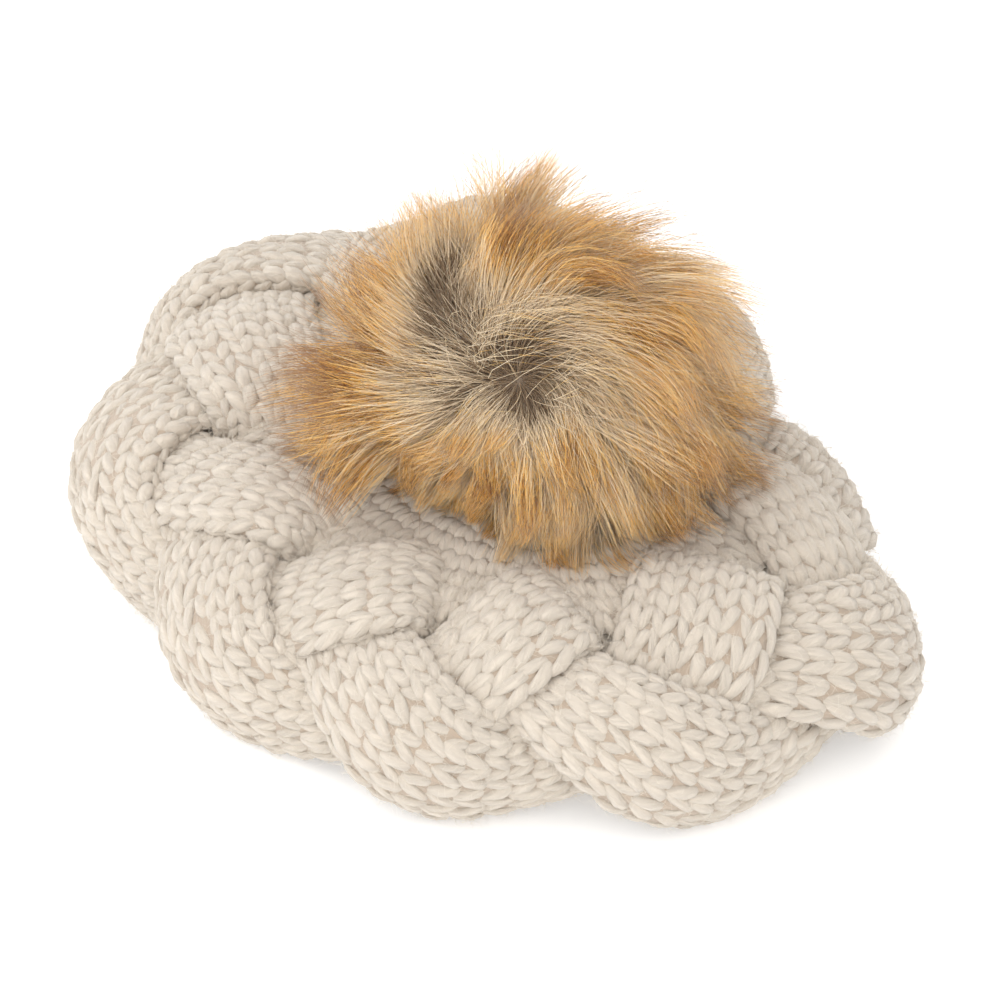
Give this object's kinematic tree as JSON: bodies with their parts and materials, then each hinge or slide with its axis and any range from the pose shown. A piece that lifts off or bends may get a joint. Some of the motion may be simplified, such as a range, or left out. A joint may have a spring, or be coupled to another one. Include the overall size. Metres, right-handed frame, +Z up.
{
  "type": "pom pom beanie",
  "caption": "Slouchy knitted cap with a plaited band of thick strands round its side and a large fur pom tied to the crown by an elastic loop.",
  "frame": {"origin": "centre of the bounding box's underside, on the surface the cap rests on", "axes": "+Z up through the crown, -Y is the front, +Y the back with the seam, +X to the right as seen from the front"},
  "size_m": [0.2489, 0.2525, 0.153],
  "materials": {
    "cream_wool": "knitted wool",
    "rib_wool": "ribbed wool",
    "wool_yarn": "twisted wool yarn",
    "fur_pile": "long fur",
    "fur_backing": "knitted backing",
    "wadding": "polyester wadding",
    "thread": "sewing thread",
    "elastic": "braided elastic cord",
    "button_wood": "oiled",
    "bar_plastic": "matte"
  },
  "bodies": {
    "cap": {"crown_panel": "cream_wool", "plait_strand_1": "cream_wool", "plait_strand_2": "cream_wool", "plait_strand_3": "cream_wool", "side_wall_fabric": "cream_wool", "ribbed_brim": "rib_wool", "crown_gather_yarn": "wool_yarn", "back_seam_yarn": "wool_yarn"},
    "tie": {"elastic_loop": "elastic", "inner_button": "button_wood"},
    "toggle": {"pom_toggle_bar": "bar_plastic"},
    "pom": {"pom_fur_pile": "fur_pile", "pom_backing": "fur_backing", "pom_wadding_core": "wadding", "pom_draw_thread": "thread"}
  },
  "joints": [
    {"name": "pom_twist", "type": "hinge", "parent": "cap", "child": "tie", "pos_m": [0.00897, -0.01576, 0.045], "axis": [0, 0, 1], "range_deg": [-180, 180]},
    {"name": "pom_nod", "type": "hinge", "parent": "tie", "child": "toggle", "pos_m": [0.00897, -0.01576, 0.061], "axis": [1, 0, 0], "range_deg": [-10, 10], "stiffness_Nm_per_rad": 0.12},
    {"name": "pom_sway", "type": "hinge", "parent": "toggle", "child": "pom", "pos_m": [0.00897, -0.01576, 0.061], "axis": [0, 1, 0], "range_deg": [-10, 10], "stiffness_Nm_per_rad": 0.12}
  ]
}
